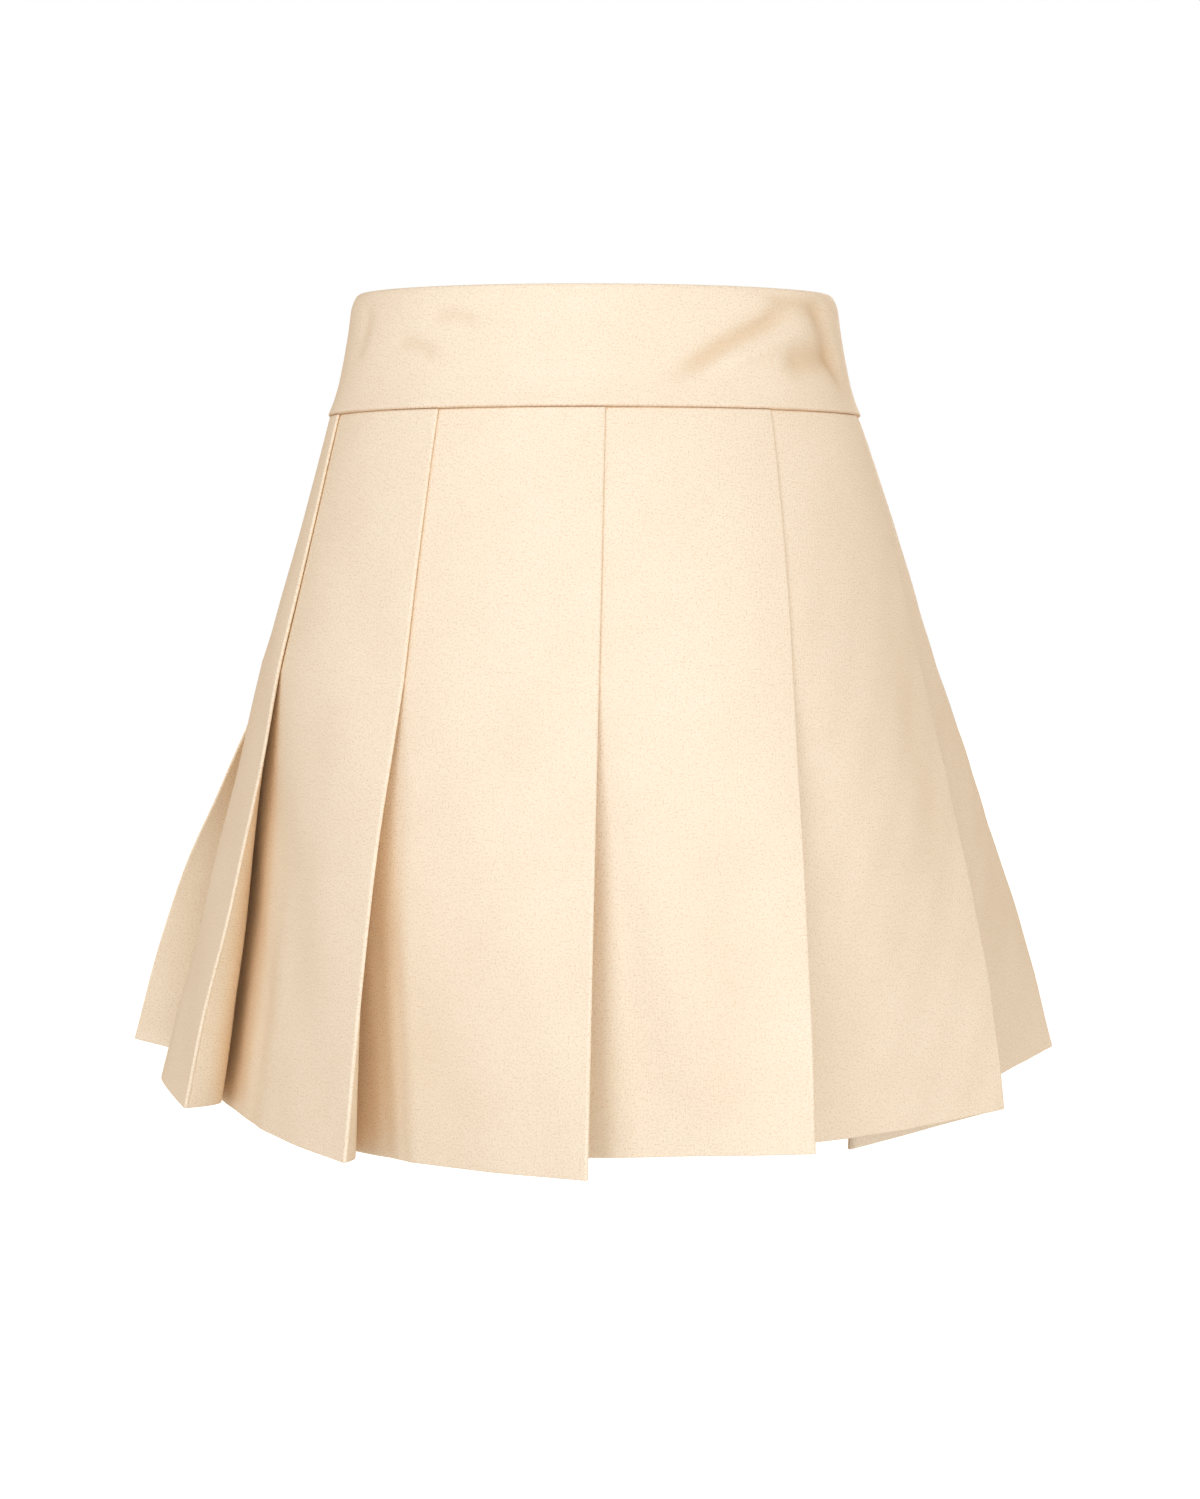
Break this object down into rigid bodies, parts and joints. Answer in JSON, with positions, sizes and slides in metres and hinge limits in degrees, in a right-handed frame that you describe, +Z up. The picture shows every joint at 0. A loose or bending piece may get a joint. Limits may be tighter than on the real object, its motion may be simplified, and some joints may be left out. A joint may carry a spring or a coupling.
{
  "type": "pleated skort",
  "caption": "Satin-faced pleated skort in its worn form: shaped waistband, wide knife pleats that open below the hip, inner shorts and a concealed back zip with a swinging tab.",
  "frame": {"origin": "centre of the waist opening, level with the waistband's top edge at the sides", "axes": "+Z up, front towards -Y, +X towards the wearer's left"},
  "size_m": [0.4973, 0.3982, 0.426],
  "materials": {
    "satin": "soft satin face with a fine weave",
    "shorts_cloth": "plain matt",
    "zip_cloth": "woven tape",
    "zip_metal": "pale, smooth"
  },
  "bodies": {
    "skort": {"waistband_front": "satin", "waistband_back_left": "satin", "waistband_back_right": "satin", "gore_center_front": "satin", "gore_front_left": "satin", "gore_hip_left": "satin", "gore_side_left": "satin", "gore_back_left": "satin", "gore_center_back": "satin", "gore_back_right": "satin", "gore_side_right": "satin", "gore_hip_right": "satin", "gore_front_right": "satin", "shorts_front_left": "shorts_cloth", "shorts_front_right": "shorts_cloth", "shorts_back_left": "shorts_cloth", "shorts_back_right": "shorts_cloth", "zip_tape": "zip_cloth", "zip_slider": "zip_metal"},
    "zip_pull": {"zip_pull": "zip_metal"}
  },
  "joints": [
    {"name": "zip_pull_hinge", "type": "hinge", "parent": "skort", "child": "zip_pull", "pos_m": [0, 0.096, -0.0055], "axis": [1, 0, 0], "range_deg": [0, 120]}
  ]
}
